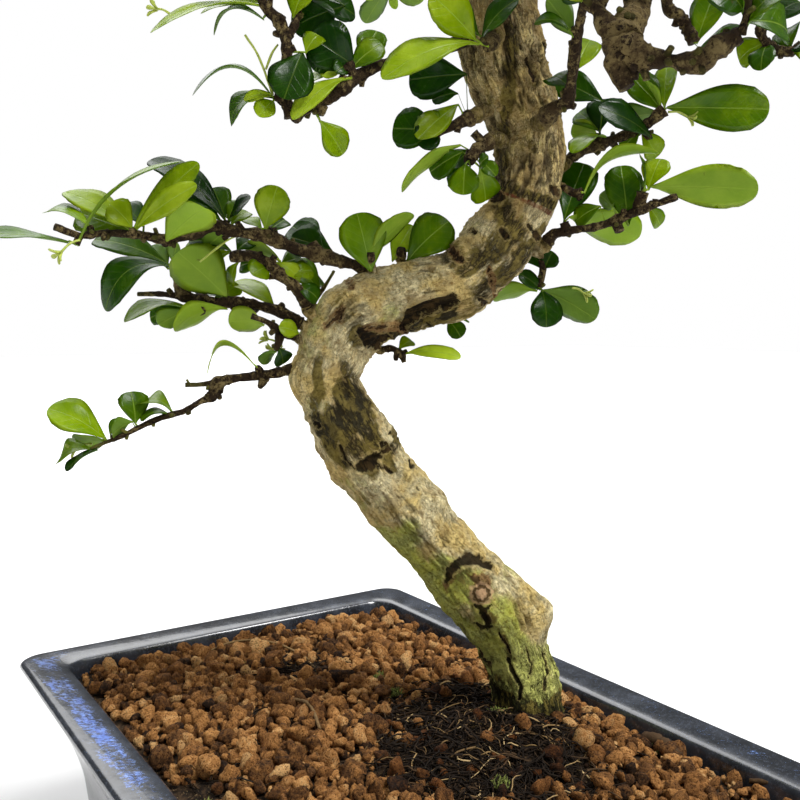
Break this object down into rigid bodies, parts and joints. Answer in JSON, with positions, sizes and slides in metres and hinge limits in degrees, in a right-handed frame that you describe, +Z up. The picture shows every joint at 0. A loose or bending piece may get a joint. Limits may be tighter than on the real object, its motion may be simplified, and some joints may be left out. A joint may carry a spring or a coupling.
{
  "type": "potted bonsai tree",
  "caption": "Small-leaved broadleaf bonsai with an S-curved trunk, twiggy leafy branches and coarse baked-clay soil in a dark glazed rectangular pot with a broad rim and corner feet",
  "frame": {"origin": "On the ground, below the middle of the pot and of the whole object's box.", "axes": "+Z up, +X along the long side of the pot, +Y across the pot to its back. The picture looks from -Y and +X at about 56 degrees from +X."},
  "size_m": [0.3, 0.2646, 0.514],
  "materials": {
    "pot_glaze": "glossy, near-black navy with cobalt streaks on the rim",
    "screen_plastic": "matte",
    "soil_grains": "rough, dry baked clay grains",
    "bark": "fissured tan bark, greener towards the foot",
    "foliage": "glossy leaves on dark knobbly twigs"
  },
  "bodies": {
    "root": {"pot": "pot_glaze", "drain_screen_left": "screen_plastic", "drain_screen_right": "screen_plastic", "soil": "soil_grains", "trunk": "bark", "branch_lower_left": "foliage", "branch_middle_left": "foliage", "branch_inner_left": "foliage", "branch_bend_twig": "foliage", "branch_long_left": "foliage", "branch_bend_spurs": "foliage", "branch_bend_shoot": "foliage", "branch_small_left": "foliage", "branch_upper_left": "foliage", "branch_front_knob": "foliage", "branch_left_stub": "foliage", "branch_left_spur": "foliage", "branch_right_lower": "foliage", "branch_trunk_spur_right": "foliage", "branch_right_upper": "foliage", "branch_front_twig": "foliage", "branch_behind_bend": "foliage", "branch_under_bend": "foliage", "branch_under_leaf": "foliage", "branch_front_crown": "foliage", "branch_crown_right": "foliage", "branch_crown_left": "foliage", "branch_crown_back": "foliage", "branch_crown_back_right": "foliage", "branch_crown_front_left": "foliage", "branch_crown_front_right": "foliage", "branch_crown_top_left": "foliage", "branch_apex": "foliage"}
  },
  "joints": []
}
